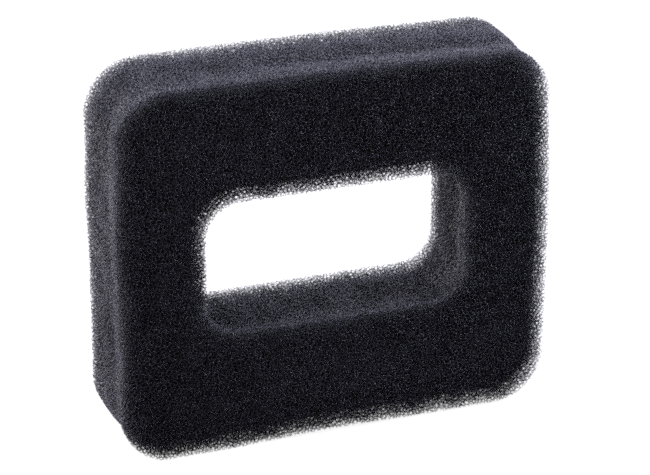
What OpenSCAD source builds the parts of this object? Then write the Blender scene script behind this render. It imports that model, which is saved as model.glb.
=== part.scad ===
// Foam air filter element for a small engine.
// One slab of open-cell foam, cut by a die to a rectangle with round corners
// and a long opening through its middle. It stands on its lower long edge:
// X runs along its length, Y through its thickness and Z up its width.
// The origin is at the middle of the edge that it stands on.

/* [Slab] */
// Length of the slab, along X
slab_length = 106; // [80:1:140]
// Width of the slab, which is its height as it stands
slab_width = 92; // [75:1:120]
// Thickness of the foam, along Y
slab_thickness = 25; // [15:1:40]
// Radius of the four outer corners
slab_corner_r = 12.5; // [4:0.5:20]

/* [Opening] */
// Length of the opening, along X
opening_length = 64; // [40:1:70]
// Width of the opening, along Z
opening_width = 33; // [24:1:45]
// Radius of the opening's four corners
opening_corner_r = 8.5; // [3:0.5:10]

/* [Foam] */
// Colour of the foam
foam_colour = "#1d1d21"; // [#1d1d21, #2b2b30, #3a3a40]

/* [Hidden] */
// Facets of each corner's circle in the preview
corner_facets = 96;
// How far the opening's cutter runs past each face
cutter_overrun = 1;

// A rectangle with round corners, centred, from two bars and four discs.
module round_rectangle(length, width, corner_r) {
    square([length - 2 * corner_r, width], center = true);
    square([length, width - 2 * corner_r], center = true);
    for (x = [-1, 1], z = [-1, 1])
        translate([x * (length / 2 - corner_r), z * (width / 2 - corner_r)])
            circle(r = corner_r, $fn = corner_facets);
}

// The same outline as a plate that stands upright, its thickness along Y.
module upright_plate(length, width, corner_r, thickness) {
    rotate([90, 0, 0])
        linear_extrude(height = thickness, center = true)
            round_rectangle(length, width, corner_r);
}

module foam_element() {
    color(foam_colour)
        translate([0, 0, slab_width / 2])
            difference() {
                upright_plate(slab_length, slab_width, slab_corner_r, slab_thickness);
                upright_plate(opening_length, opening_width, opening_corner_r,
                              slab_thickness + 2 * cutter_overrun);
            }
}

foam_element();
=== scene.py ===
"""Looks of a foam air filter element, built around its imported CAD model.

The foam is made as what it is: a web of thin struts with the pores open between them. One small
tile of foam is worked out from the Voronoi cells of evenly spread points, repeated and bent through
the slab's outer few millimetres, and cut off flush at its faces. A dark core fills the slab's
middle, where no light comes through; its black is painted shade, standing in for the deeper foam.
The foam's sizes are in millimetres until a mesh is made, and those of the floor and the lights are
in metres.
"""

import math

import bpy
import numpy as np
from mathutils import Matrix, Quaternion, Vector


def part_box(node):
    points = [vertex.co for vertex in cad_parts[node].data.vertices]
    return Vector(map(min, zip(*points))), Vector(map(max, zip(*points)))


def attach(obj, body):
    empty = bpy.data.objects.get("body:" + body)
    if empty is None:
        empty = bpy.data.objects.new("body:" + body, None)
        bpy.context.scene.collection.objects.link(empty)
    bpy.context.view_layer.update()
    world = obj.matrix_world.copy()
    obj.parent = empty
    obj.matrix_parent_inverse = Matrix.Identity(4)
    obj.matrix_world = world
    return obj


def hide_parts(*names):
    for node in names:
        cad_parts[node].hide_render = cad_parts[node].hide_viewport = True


MM = 0.001
SEED = 20

# The CAD sizes that the part's box doesn't hold
SLAB_CORNER_R = 12.5
OPENING_LENGTH = 64.0
OPENING_WIDTH = 33.0
OPENING_CORNER_R = 8.5

# How the soft foam differs from the straight cuts of the CAD solid
OPENING_RISE = 0.3  # the opening was cut a little high
OPENING_LEAN = 1.3  # how much longer it is at the back, all of it at its +X end
RIM_INSET = 0.05  # how far the walls stand back at the faces
WAIST_INSET = 0.9  # how far they are drawn in where they are deepest, between the faces
WAIST_AT = 0.33  # where that is, as a share of the thickness from the front
WAIST_SPREAD = 0.17  # how wide it is, as such a share
LIP = 0.25  # how far the opening's front edge was dragged inwards by the die
LIP_DEPTH = 1.1  # how far that reaches back
RIM_R = 0.3  # rounding of the cut edges
# Where the outline swells or draws in: direction from the middle in degrees from +X towards +Z,
# how far in mm, and over how many degrees to each side
SWELLINGS = (
    (0, 0.8, 40),
    (45, -0.8, 22),
    (115, 0.25, 40),
    (166, 0.5, 9),
    (-48, -0.4, 12),
    (-90, -0.7, 32),
    (-126, 0.5, 16),
)

# The foam's web
CELL_VOLUME = 0.75  # of one foam cell, in cubic millimetres
TILE_CELLS = 512
SPREAD_ROUNDS = 90
RELAX_ROUNDS = 40
STRUT_R = 0.075  # distance of a joint's corners from its middle
STRUT_R_SPREAD = 0.2  # how much thicker or thinner one can be, as a share of that
SHORTEST_STUB = 0.12  # of a cut strut, as a share of its length
BEND = 1.2  # how far the web is bent out of its tile's grid
BEND_LENGTH = 11.0  # from one bend to the next
BEND_WAVES = 6

# The struts' tones, which the web mixes: name, colour and roughness
TONES = (
    ("foam_strut_black", (0.009, 0.009, 0.012), 0.40),
    ("foam_strut_dark", (0.013, 0.013, 0.017), 0.36),
    ("foam_strut_grey", (0.019, 0.019, 0.024), 0.33),
    ("foam_strut_worn", (0.029, 0.029, 0.036), 0.30),
)

# The dark core
CORE_DEPTH = 1.3  # under the faces and walls
CORE_ROUND = 5.0  # rounding along its edges, where light comes through the foam
CORE_SINK = 0.2  # how far the web runs into it
CORE_LUMPS = 0.11  # its unevenness, at the scale of the pores
CORE_STEP = 0.8  # between its points along the outline
CORE_PORE = 0.95  # across the pores in its material

WEB_PIECES = 30


# ---------------------------------------------------------------- one tile of foam


def spread_points(rng, count, side):
    """Points in a cube that repeats, pushed apart until they lie evenly but in no order."""
    points = rng.random((count, 3)) * side
    # points nearer to each other than this push each other away, a little in each round
    reach = 1.25 * side / count ** (1 / 3)
    for _ in range(SPREAD_ROUNDS):
        apart = points[:, None] - points[None]
        apart -= side * np.round(apart / side)
        distance = np.linalg.norm(apart, axis=2) + 1e-9
        np.fill_diagonal(distance, reach)
        push = np.clip(1 - distance / reach, 0, None) / distance
        points += 0.22 * reach * (apart * push[:, :, None]).sum(1)
    return points % side


def cell_corners(points, side):
    """The corners of the points' Voronoi cells: where they are, and the four points that share each.

    A sharing point is (index, how many tiles away along x, y, z).
    """
    count = len(points)
    images = np.stack(np.meshgrid(*[[-1, 0, 1]] * 3, indexing="ij"), -1).reshape(-1, 3)
    everywhere = (points[None] + images[:, None] * side).reshape(-1, 3)
    owner = np.tile(np.arange(count), len(images))
    moved = np.repeat(images, count, axis=0)
    near = 30  # neighbours that can share a corner with a point
    triples = np.array(
        [(a, b, c) for a in range(near) for b in range(a + 1, near) for c in range(b + 1, near)]
    )
    found = {}
    spacing = side / count ** (1 / 3)
    for i in range(count):
        away = everywhere - points[i]
        length = (away**2).sum(1)
        order = np.argsort(length)[1 : near + 1]
        rows, squares = away[order], length[order]
        m, s = rows[triples], squares[triples] / 2
        # the centre of the ball through the point and three of its neighbours
        det = np.linalg.det(m)
        good = np.abs(det) > 1e-6 * spacing**3
        m, s, which, det = m[good], s[good], triples[good], det[good]
        centre = (
            s[:, :1] * np.cross(m[:, 1], m[:, 2])
            + s[:, 1:2] * np.cross(m[:, 2], m[:, 0])
            + s[:, 2:] * np.cross(m[:, 0], m[:, 1])
        ) / det[:, None]
        radius = (centre**2).sum(1)
        close = radius < (1.1 * spacing) ** 2
        centre, radius, which = centre[close], radius[close], which[close]
        # empty: no other point is nearer to the corner than these four
        nearest = squares[None] - 2 * centre @ rows.T
        empty = nearest.min(1) > -1e-7 * spacing**2
        for c, w in zip(centre[empty], which[empty]):
            four = [(i, 0, 0, 0)] + [(int(owner[order[k]]), *map(int, moved[order[k]])) for k in w]
            four.sort()
            base = four[0][1:]
            key = tuple((f[0], f[1] - base[0], f[2] - base[1], f[3] - base[2]) for f in four)
            if key not in found:
                found[key] = points[i] + c - np.array(base) * side
    return list(found), np.array(list(found.values()))


def cell_edges(keys):
    """The struts between the corners: the corners at their ends, and how many tiles they hop."""
    sharing = {}
    for corner, four in enumerate(keys):
        for left_out in range(4):
            three = [f for k, f in enumerate(four) if k != left_out]
            base = three[0][1:]
            name = tuple((f[0], f[1] - base[0], f[2] - base[1], f[3] - base[2]) for f in three)
            sharing.setdefault(name, []).append((corner, base))
    pairs = [s for s in sharing.values() if len(s) == 2]
    ends = np.array([(a[0], b[0]) for a, b in pairs])
    hops = np.array([np.subtract(a[1], b[1]) for a, b in pairs])
    return ends, hops


def relax(corners, ends, hops, side):
    """Evens out the struts' lengths, as surface tension does in the liquid foam."""
    for _ in range(RELAX_ROUNDS):
        along = corners[ends[:, 1]] + hops * side - corners[ends[:, 0]]
        length = np.linalg.norm(along, axis=1, keepdims=True)
        pull = along * (1 - 0.9 * length.mean() / np.maximum(length, 1e-6)) * 0.2
        np.add.at(corners, ends[:, 0], pull)
        np.add.at(corners, ends[:, 1], -pull)
    return corners


# A joint is a small tetrahedron whose four faces look along its four struts. FACES[k] is the face
# opposite corner k, its corners anticlockwise seen from outside.
FACES = np.array([(1, 2, 3), (0, 3, 2), (0, 1, 3), (0, 2, 1)])


def foam_tile(rng):
    """A cube of foam that repeats: its side, joints' places, struts, and joints' corner directions."""
    side = (CELL_VOLUME * TILE_CELLS) ** (1 / 3)
    keys, corners = cell_corners(spread_points(rng, TILE_CELLS, side), side)
    ends, hops = cell_edges(keys)
    corners = relax(corners, ends, hops, side)
    along = corners[ends[:, 1]] + hops * side - corners[ends[:, 0]]
    along /= np.linalg.norm(along, axis=1, keepdims=True)

    # each joint's struts, in an order that makes its tetrahedron right-handed
    joint = np.concatenate([ends[:, 0], ends[:, 1]])
    leaving = np.concatenate([along, -along])
    order = np.argsort(joint, kind="stable")
    assert (np.bincount(joint) == 4).all()
    table = order.reshape(-1, 4)
    out = leaving[table]
    left_handed = np.linalg.det(out[:, 1:] - out[:, :1]) > 0
    table[left_handed, 2:] = table[left_handed, 3:1:-1]
    out = leaving[table]
    slot = np.empty(len(joint), int)
    slot[table.ravel()] = np.tile(np.arange(4), len(table))
    slots = np.stack([slot[: len(ends)], slot[len(ends) :]], 1)

    # how far each strut's far face is turned to line up with its near one
    near = -out[ends[:, 0, None], FACES[slots[:, 0]]]
    far = -out[ends[:, 1, None], FACES[slots[:, 1]]]
    turns = np.stack(
        [sum((near[:, m] * far[:, (k - m) % 3]).sum(1) for m in range(3)) for k in range(3)], 1
    ).argmax(1)
    return {
        "side": side,
        "joints": corners,
        "corners": -out,
        "ends": ends,
        "hops": hops,
        "slots": slots,
        "turns": turns,
    }


# ---------------------------------------------------------------- the slab's shape


def round_rectangle_distance(x, z, length, width, corner_r):
    """Distance to a centred rectangle with round corners, negative inside."""
    qx = np.abs(x) - (length / 2 - corner_r)
    qz = np.abs(z) - (width / 2 - corner_r)
    outside = np.hypot(np.maximum(qx, 0), np.maximum(qz, 0))
    return outside + np.minimum(np.maximum(qx, qz), 0) - corner_r


def inset(y, thickness):
    """How far the die-cut walls are drawn in at y: a little at the faces, most at the waist."""
    share = y / thickness + 0.5
    waist = np.exp(-(((share - WAIST_AT) / WAIST_SPREAD) ** 2))
    return RIM_INSET + (WAIST_INSET - RIM_INSET) * waist


def swelling(x, z):
    """How far the outline stands out in the direction of x and z."""
    turn = np.degrees(np.arctan2(z, x))
    total = np.zeros(len(turn))
    for at, amount, spread in SWELLINGS:
        apart = (turn - at + 180) % 360 - 180
        total += amount * np.exp(-((apart / spread) ** 2))
    return total


def depths(points, size):
    """How deep the points lie under the nearest cut wall and under the nearer face."""
    x, y, z = points.T
    drawn_in = inset(y, size[1])
    outer = round_rectangle_distance(x, z, size[0], size[2], SLAB_CORNER_R)
    outer = outer + drawn_in - swelling(x, z)
    outer = np.maximum(outer, -size[2] / 2 - z)  # it stands flat on its lower edge
    lean = OPENING_LEAN * (y / size[1] + 0.5)
    opening = round_rectangle_distance(
        x - lean / 2, z - OPENING_RISE, OPENING_LENGTH + lean, OPENING_WIDTH, OPENING_CORNER_R
    )
    lip = LIP * np.exp(-(((y + size[1] / 2) / LIP_DEPTH) ** 2))
    return -np.maximum(outer, drawn_in - opening - lip), size[1] / 2 - np.abs(y)


def corner_distance(wall, face, depth, corner_r):
    """Distance to what lies deeper than depth under wall and face, with its edges rounded."""
    qx, qy = depth + corner_r - wall, depth + corner_r - face
    outside = np.hypot(np.maximum(qx, 0), np.maximum(qy, 0))
    return outside + np.minimum(np.maximum(qx, qy), 0) - corner_r


def bent(points, rng):
    """The points moved by a smooth random bend, so that the repeated tile doesn't show."""
    moved = points.copy()
    for _ in range(BEND_WAVES):
        wave = rng.normal(size=3)
        wave *= 2 * math.pi / (BEND_LENGTH * (0.7 + 0.6 * rng.random()) * np.linalg.norm(wave))
        push = rng.normal(size=3)
        push -= wave * (push @ wave) / (wave @ wave) * 0.5
        push *= BEND / math.sqrt(BEND_WAVES) / np.linalg.norm(push)
        moved += np.sin(points @ wave + rng.random() * 2 * math.pi)[:, None] * push
    return moved


# ---------------------------------------------------------------- the web of struts


def web(size, rng):
    """The foam's web in the slab's outer layer, as joints and the struts that leave each of them."""
    tile = foam_tile(rng)
    side, count = tile["side"], len(tile["joints"])
    reach = np.ceil((size / 2 + 2 * BEND) / side).astype(int)
    grid = np.stack(np.meshgrid(*[np.arange(-r, r) for r in reach], indexing="ij"), -1)
    shape = grid.shape[:3]
    places = grid.reshape(-1, 1, 3) * side + tile["joints"]
    places = bent(places.reshape(-1, 3), rng)
    wall, face = depths(places, size)
    surface = corner_distance(wall, face, 0, RIM_R)
    core = corner_distance(wall, face, CORE_DEPTH, CORE_ROUND)
    kept = (surface < 0) & (core > -CORE_SINK)

    # every tile's struts, except those that leave the grid, whose ends lie outside the slab
    tiles = np.arange(len(places) // count).reshape(shape)
    around = np.full(np.array(shape) + 2, -1)
    around[1:-1, 1:-1, 1:-1] = tiles
    struts = []
    for hop in np.unique(tile["hops"], axis=0):
        chosen = np.flatnonzero((tile["hops"] == hop).all(1))
        x, y, z = hop + 1
        there = around[x : x + shape[0], y : y + shape[1], z : z + shape[2]].ravel()
        here, there = tiles.ravel()[there >= 0], there[there >= 0]
        first = here[:, None] * count + tile["ends"][chosen, 0]
        second = there[:, None] * count + tile["ends"][chosen, 1]
        which = np.broadcast_to(chosen, first.shape)
        struts.append(np.stack([first, second, which], -1).reshape(-1, 3))
    first, second, which = np.concatenate(struts).T
    used = kept[first] | kept[second]
    first, second, which = first[used], second[used], which[used]
    return {
        "places": places,
        "surface": surface,
        "kept": kept,
        "spread": tile["corners"][np.arange(len(places)) % count],
        "first": first,
        "second": second,
        "slots": tile["slots"][which],
        "turns": tile["turns"][which],
    }


def sectors(places, kept):
    """Which piece each kept joint belongs to: sectors round the opening, of as many joints each."""
    owner = np.full(len(places), -1)
    inside = np.flatnonzero(kept)
    round_about = np.arctan2(places[inside, 2], places[inside, 0])
    order = inside[np.argsort(round_about, kind="stable")]
    owner[order] = np.arange(len(order)) * WEB_PIECES // len(order)
    return owner


def web_mesh(name, foam, owner, piece, thickness, tone):
    """One sector of the web as closed struts: prisms between the joints' faces, capped where cut."""
    joints = np.flatnonzero(owner == piece)
    number = np.full(len(owner), -1)
    number[joints] = np.arange(len(joints))
    spread = foam["spread"][joints] * (STRUT_R * thickness[joints])[:, None, None]
    points = [(foam["places"][joints, None] + spread).reshape(-1, 3)]
    total = len(joints) * 4
    open_faces = np.ones((len(joints), 4), bool)
    corners, sides, of_joint = [], [], []

    def add(faces, joint):
        """Adds faces, with the joint that each takes its tone from."""
        corners.append(faces.ravel())
        sides.append(np.full(len(faces), faces.shape[1]))
        of_joint.append(joint)

    a, b = foam["first"], foam["second"]
    whole = (owner[a] == piece) & (owner[b] == piece)
    near, far = number[a[whole]], number[b[whole]]
    slots, turns = foam["slots"][whole], foam["turns"][whole]
    near_face = near[:, None] * 4 + FACES[slots[:, 0]]
    far_face = far[:, None] * 4 + FACES[slots[:, 1]]
    every = np.arange(len(near))
    for m in range(3):
        quad = [
            near_face[:, m],
            near_face[:, (m + 1) % 3],
            far_face[every, (turns - m - 1) % 3],
            far_face[every, (turns - m) % 3],
        ]
        add(np.stack(quad, 1), near)
    open_faces[near, slots[:, 0]] = False
    open_faces[far, slots[:, 1]] = False

    # struts that leave this piece: cut flush at the slab's surface, or run on to the next piece
    for here, there, end in ((a, b, 0), (b, a, 1)):
        leaving = (owner[here] == piece) & (owner[there] != piece)
        depth, beyond = foam["surface"][here], foam["surface"][there]
        cut = beyond > 0
        share = depth / (depth - np.where(cut, beyond, 1))
        share = np.where(cut, share, 1.0)
        stub = leaving & ((cut & (share > SHORTEST_STUB)) | ((owner[there] >= 0) & (end == 0)))
        near = number[here[stub]]
        slot = foam["slots"][stub, end]
        face = near[:, None] * 4 + FACES[slot]
        along = (foam["places"][there[stub]] - foam["places"][here[stub]]) * share[stub, None]
        tip = points[0][face] + along[:, None]
        points.append(tip.reshape(-1, 3))
        tip_face = total + np.arange(len(near) * 3).reshape(-1, 3)
        total += len(near) * 3
        for m in range(3):
            n = (m + 1) % 3
            add(np.stack([face[:, m], face[:, n], tip_face[:, n], tip_face[:, m]], 1), near)
        add(tip_face, near)
        open_faces[near, slot] = False

    joint, slot = np.nonzero(open_faces)
    add(joint[:, None] * 4 + FACES[slot], joint)
    sides = np.concatenate(sides)
    starts = np.concatenate([[0], np.cumsum(sides)[:-1]])
    mesh = bpy.data.meshes.new(name)
    points = np.concatenate(points)
    mesh.vertices.add(len(points))
    mesh.vertices.foreach_set("co", (points * MM).astype(np.float32).ravel())
    corners = np.concatenate(corners)
    mesh.loops.add(len(corners))
    mesh.loops.foreach_set("vertex_index", corners.astype(np.int32))
    mesh.polygons.add(len(sides))
    mesh.polygons.foreach_set("loop_start", starts.astype(np.int32))
    tones = tone[joints][np.concatenate(of_joint)]
    mesh.polygons.foreach_set("material_index", tones.astype(np.int32))
    mesh.update(calc_edges=True)
    mesh.shade_smooth()
    return mesh


# ---------------------------------------------------------------- materials


def nodes_of(name):
    """A new material, its node tree and its Principled node."""
    material = bpy.data.materials.new(name)
    material.use_nodes = True
    tree = material.node_tree
    return material, tree, tree.nodes["Principled BSDF"]


def strut_material(name, colour, roughness):
    """Glossy black polyurethane of one tone; the web mixes several."""
    material, _, shader = nodes_of(name)
    shader.inputs["Base Color"].default_value = (*colour, 1)
    shader.inputs["Roughness"].default_value = roughness
    shader.inputs["Specular Tint"].default_value = (0.84, 0.83, 1, 1)
    return material


def core_material():
    """Foam too deep for the light to reach, in painted shade: black pores between faint threads."""
    material, tree, shader = nodes_of("deep_foam_painted_shade")
    new, link = tree.nodes.new, tree.links.new
    where = new("ShaderNodeTexCoord")
    cells = new("ShaderNodeTexVoronoi")
    cells.feature = "DISTANCE_TO_EDGE"
    cells.inputs["Scale"].default_value = 1 / (CORE_PORE * MM)
    cells.inputs["Randomness"].default_value = 0.9
    link(where.outputs["Object"], cells.inputs["Vector"])
    # painted shade: faint threads over black pores, darker than the struts, for foam that the light
    # doesn't reach
    threads = new("ShaderNodeValToRGB")
    threads.color_ramp.elements[0].color = (0.01, 0.01, 0.012, 1)
    threads.color_ramp.elements[1].color = (0.001, 0.001, 0.0012, 1)
    threads.color_ramp.elements[0].position = 0.03
    threads.color_ramp.elements[1].position = 0.16
    link(cells.outputs["Distance"], threads.inputs["Fac"])
    link(threads.outputs["Color"], shader.inputs["Base Color"])
    bump = new("ShaderNodeBump")
    bump.inputs["Distance"].default_value = 0.4 * MM
    bump.inputs["Strength"].default_value = 0.8
    bump.invert = True
    link(cells.outputs["Distance"], bump.inputs["Height"])
    link(bump.outputs["Normal"], shader.inputs["Normal"])
    shader.inputs["Roughness"].default_value = 0.9
    shader.inputs["Specular IOR Level"].default_value = 0.08
    return material


# ---------------------------------------------------------------- the dark core


def round_rectangle(length, width, corner_r, grown):
    """Points round a rectangle with round corners, moved outwards by grown."""
    points = []
    for quarter in range(4):
        sx, sz = ((1, 1), (-1, 1), (-1, -1), (1, -1))[quarter]
        middle = np.array([sx * (length / 2 - corner_r), sz * (width / 2 - corner_r)])
        turn = np.linspace(0, math.pi / 2, 13) + quarter * math.pi / 2
        points += [middle + (corner_r + grown) * np.array([math.cos(t), math.sin(t)]) for t in turn]
    return np.array(points)


def resampled(loop, shares):
    """The points of a closed loop at those shares of the way between each point and the next."""
    after = np.roll(loop, -1, axis=0)
    return np.concatenate([p + s[:, None] * (q - p) for p, q, s in zip(loop, after, shares)])


def core_mesh(size, rng):
    """The core as rings round the opening, from the outer wall over one face to the other wall."""
    half = size[1] / 2
    outer = round_rectangle(size[0], size[2], SLAB_CORNER_R, 0)
    lengths = np.linalg.norm(np.roll(outer, -1, axis=0) - outer, axis=1)
    steps = np.maximum(1, np.round(lengths / CORE_STEP)).astype(int)
    shares = [np.arange(n) / n for n in steps]

    def ring(depth, y, of_opening):
        """The core's outline at y, that deep under the opening's wall or the outer one."""
        if of_opening:
            length, width, corner_r = OPENING_LENGTH, OPENING_WIDTH, OPENING_CORNER_R
            flat = resampled(round_rectangle(length, width, corner_r, depth), shares)
            moved = np.full(len(flat), inset(y, size[1]))
        else:
            length, width, corner_r = size[0], size[2], SLAB_CORNER_R
            flat = resampled(round_rectangle(length, width, corner_r, -depth), shares)
            moved = swelling(flat[:, 0], flat[:, 1]) - inset(y, size[1])
        inner = np.array([length / 2 - corner_r, width / 2 - corner_r])
        outward = flat - np.clip(flat, -inner, inner)
        flat = flat + outward / np.linalg.norm(outward, axis=1, keepdims=True) * moved[:, None]
        return np.stack([flat[:, 0], np.full(len(flat), y), flat[:, 1]], 1)

    turn = np.linspace(0, math.pi / 2, 14)
    deep = CORE_DEPTH + CORE_ROUND
    arc = [(deep - CORE_ROUND * math.cos(t), half - deep + CORE_ROUND * math.sin(t)) for t in turn]
    straight = 2 * (half - deep)
    wall_steps = np.linspace(-straight / 2, straight / 2, 9)[1:-1]
    face_steps = np.linspace(0, 1, 8)[1:-1]

    def over_face(sign):
        """Rings over one face, from the outer wall's edge to the opening's."""
        up = [ring(d, sign * y, False) for d, y in arc]
        down = [ring(d, sign * y, True) for d, y in arc[::-1]]
        return up + [up[-1] + s * (down[0] - up[-1]) for s in face_steps] + down

    rings = [ring(CORE_DEPTH, y, False) for y in wall_steps] + over_face(1)
    rings += [ring(CORE_DEPTH, y, True) for y in wall_steps[::-1]] + over_face(-1)[::-1]
    count = len(rings[0])
    points = np.concatenate(rings)
    # lumpy, so that no smooth wall shows between the struts
    points += rng.normal(size=points.shape) * CORE_LUMPS
    i, j = np.meshgrid(np.arange(len(rings)), np.arange(count), indexing="ij")
    after_i, after_j = (i + 1) % len(rings), (j + 1) % count
    quads = np.stack(
        [i * count + j, i * count + after_j, after_i * count + after_j, after_i * count + j], -1
    ).reshape(-1, 4)
    mesh = bpy.data.meshes.new("foam_core")
    mesh.from_pydata((points * MM).tolist(), [], quads.tolist())
    mesh.shade_smooth()
    return mesh


# ---------------------------------------------------------------- camera, floor and light

# The camera's place, from the slab's middle; lengths as shares of the slab's length
CAMERA_AZIMUTH = -20.43
CAMERA_ELEVATION = 24.2
CAMERA_ROLL = 0.15
CAMERA_DISTANCE = 6.356
LOOKED_AT = (0.014, 0.0, -0.009)
LENS = 158.14

# The white table
FLOOR_HALF = 3.0  # half its width
FLOOR_WHITE = 0.9  # its own white to the eye
FLOOR_SHADE = 0.12  # how much of the light it adds to that, which is what a shadow takes away
FLOOR_GLOW_IN_FRONT = 0.15  # how strongly it glows as a light, up to the slab's middle
FLOOR_GLOW_BEHIND = 4.0  # the same, behind the slab
FLOOR_GLOW_FULL_AT = 0.15  # how far behind that is reached

# How bright the white studio is as a light, by direction: towards (x, y, z), strength, how
# narrow, and colour
STUDIO_GLOW = (
    ((0.0, 0.7, 0.7), 6.0, 4, (0.85, 0.85, 1.0)),
    ((-0.85, 0.5, 0.1), 23.0, 16, (1.0, 0.98, 0.97)),
    ((-0.8, 0.0, 0.6), 6.0, 6, (0.96, 0.94, 1.0)),
    ((-0.5, -0.6, 0.6), 0.25, 4, (0.9, 0.92, 1.0)),
)
STUDIO_WHITE = 1.25  # how bright it is to the eye

# Round soft lights: name, azimuth, elevation, distance and diameter in metres, watts and colour
LIGHTS = (
    ("top", 100, 72, 0.8, 0.5, 7.6, (0.85, 0.85, 1.0)),
    ("right_back", 128, 35, 0.6, 0.45, 1.4, (0.85, 0.85, 1.0)),
    ("right", 78, 20, 0.25, 0.12, 0.9, (0.85, 0.87, 1.0)),
)


def direction(azimuth, elevation):
    """The way from the slab towards something seen at that azimuth and elevation, in degrees."""
    a, e = math.radians(azimuth), math.radians(elevation)
    return Vector((math.sin(a) * math.cos(e), -math.cos(a) * math.cos(e), math.sin(e)))


def add_camera(centre, length):
    """The camera, at the photograph's viewing angle."""
    camera = bpy.data.objects.new("camera", bpy.data.cameras.new("camera"))
    bpy.context.scene.collection.objects.link(camera)
    camera.data.lens = LENS
    camera.data.sensor_width = 36
    back = direction(CAMERA_AZIMUTH, CAMERA_ELEVATION)
    target = centre + Vector(LOOKED_AT) * length
    camera.location = target + back * CAMERA_DISTANCE * length
    camera.rotation_mode = "QUATERNION"
    aim = (-back).to_track_quat("-Z", "Y")
    camera.rotation_quaternion = aim @ Quaternion((0, 0, 1), math.radians(CAMERA_ROLL))
    bpy.context.scene.camera = camera


def add_light(name, centre, azimuth, elevation, distance, size, power, colour):
    """A round soft light that faces the slab."""
    light = bpy.data.lights.new(name, "AREA")
    light.shape = "DISK"
    light.size = size
    light.energy = power
    light.color = colour
    lamp = bpy.data.objects.new(name, light)
    bpy.context.scene.collection.objects.link(lamp)
    way = direction(azimuth, elevation)
    lamp.location = centre + way * distance
    lamp.rotation_mode = "QUATERNION"
    lamp.rotation_quaternion = way.to_track_quat("Z", "Y")


def add_floor():
    """A white table: plain white to the eye but for the foam's faint shadow, and brightest behind."""
    mesh = bpy.data.meshes.new("floor")
    half = FLOOR_HALF
    corners = [(-half, -half, 0), (half, -half, 0), (half, half, 0), (-half, half, 0)]
    mesh.from_pydata(corners, [], [(0, 1, 2, 3)])
    floor = bpy.data.objects.new("floor", mesh)
    bpy.context.scene.collection.objects.link(floor)
    material, tree, shader = nodes_of("floor")
    new, link = tree.nodes.new, tree.links.new
    where = new("ShaderNodeNewGeometry")
    split = new("ShaderNodeSeparateXYZ")
    link(where.outputs["Position"], split.inputs["Vector"])
    glow = new("ShaderNodeMapRange")
    glow.interpolation_type = "SMOOTHSTEP"
    glow.inputs["From Min"].default_value = 0.0
    glow.inputs["From Max"].default_value = FLOOR_GLOW_FULL_AT
    glow.inputs["To Min"].default_value = FLOOR_GLOW_IN_FRONT
    glow.inputs["To Max"].default_value = FLOOR_GLOW_BEHIND
    link(split.outputs["Y"], glow.inputs["Value"])
    path = new("ShaderNodeLightPath")
    strength = new("ShaderNodeMix")
    strength.inputs["B"].default_value = FLOOR_WHITE
    link(path.outputs["Is Camera Ray"], strength.inputs["Factor"])
    link(glow.outputs["Result"], strength.inputs["A"])
    link(strength.outputs["Result"], shader.inputs["Emission Strength"])
    shader.inputs["Emission Color"].default_value = (1, 1, 1, 1)
    shader.inputs["Base Color"].default_value = (FLOOR_SHADE, FLOOR_SHADE, FLOOR_SHADE, 1)
    shader.inputs["Roughness"].default_value = 0.8
    shader.inputs["Specular IOR Level"].default_value = 0.0
    mesh.materials.append(material)


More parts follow.
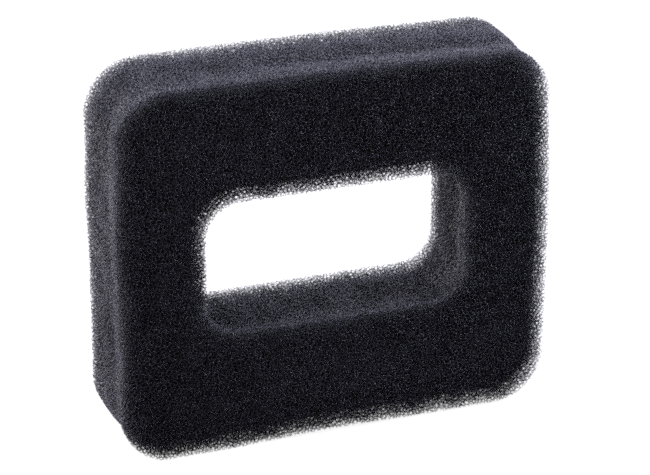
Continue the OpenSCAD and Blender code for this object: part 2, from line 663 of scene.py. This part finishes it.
def add_world():
    """A white studio: plain white to the eye, and as a light brightest above, behind and on the left."""
    world = bpy.data.worlds.new("world")
    bpy.context.scene.world = world
    world.use_nodes = True
    tree = world.node_tree
    new, link = tree.nodes.new, tree.links.new
    where = new("ShaderNodeTexCoord")
    total = None
    for towards, strength, narrow, colour in STUDIO_GLOW:
        facing = new("ShaderNodeVectorMath")
        facing.operation = "DOT_PRODUCT"
        facing.inputs[1].default_value = Vector(towards).normalized()
        link(where.outputs["Generated"], facing.inputs[0])
        ahead = new("ShaderNodeMath")
        ahead.operation = "MAXIMUM"
        ahead.inputs[1].default_value = 0
        link(facing.outputs["Value"], ahead.inputs[0])
        glow = new("ShaderNodeMath")
        glow.operation = "POWER"
        glow.inputs[1].default_value = narrow
        link(ahead.outputs["Value"], glow.inputs[0])
        coloured = new("ShaderNodeVectorMath")
        coloured.operation = "SCALE"
        coloured.inputs[0].default_value = Vector(colour) * strength
        link(glow.outputs["Value"], coloured.inputs["Scale"])
        if total is None:
            total = coloured.outputs["Vector"]
        else:
            both = new("ShaderNodeVectorMath")
            both.operation = "ADD"
            link(total, both.inputs[0])
            link(coloured.outputs["Vector"], both.inputs[1])
            total = both.outputs["Vector"]
    path = new("ShaderNodeLightPath")
    seen = new("ShaderNodeMix")
    seen.data_type = "RGBA"
    seen.inputs["B"].default_value = (STUDIO_WHITE, STUDIO_WHITE, STUDIO_WHITE, 1)
    link(path.outputs["Is Camera Ray"], seen.inputs["Factor"])
    link(total, seen.inputs["A"])
    link(seen.outputs["Result"], tree.nodes["Background"].inputs["Color"])


# ---------------------------------------------------------------- the scene


def add_piece(mesh, materials):
    """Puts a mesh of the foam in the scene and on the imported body, in its CAD node's place."""
    piece = bpy.data.objects.new(mesh.name, mesh)
    bpy.context.scene.collection.objects.link(piece)
    for material in materials:
        mesh.materials.append(material)
    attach(piece, "root")
    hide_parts("foam_element")


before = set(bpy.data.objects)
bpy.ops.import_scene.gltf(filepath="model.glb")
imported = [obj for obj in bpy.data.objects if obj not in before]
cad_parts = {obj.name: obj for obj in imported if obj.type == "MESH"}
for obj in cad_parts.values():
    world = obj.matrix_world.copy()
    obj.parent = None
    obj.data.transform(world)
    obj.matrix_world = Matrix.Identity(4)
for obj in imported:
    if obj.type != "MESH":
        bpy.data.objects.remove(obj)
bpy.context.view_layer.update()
low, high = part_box("foam_element")
centre = (low + high) / 2
size = np.array(high - low) / MM
# plain colours, no denoiser to smear the struts, and a soft pixel filter
bpy.context.scene.view_settings.view_transform = "Standard"
bpy.context.scene.cycles.use_denoising = False
bpy.context.scene.cycles.filter_width = 2.0

add_camera(centre, size[0] * MM)
add_floor()
add_world()
for name, *placing in LIGHTS:
    add_light(name, centre, *placing)

rng = np.random.default_rng(SEED)
foam = web(size, rng)
owner = sectors(foam["places"], foam["kept"])
foam["places"] += np.array(centre) / MM
thickness = rng.uniform(1 - STRUT_R_SPREAD, 1 + STRUT_R_SPREAD, len(owner))
tone = rng.integers(0, len(TONES), len(owner))
struts = [strut_material(*values) for values in TONES]
for piece in range(WEB_PIECES):
    mesh = web_mesh(f"foam_web_{piece + 1:02d}", foam, owner, piece, thickness, tone)
    add_piece(mesh, struts)
core = core_mesh(size, rng)
core.transform(Matrix.Translation(centre))
add_piece(core, [core_material()])
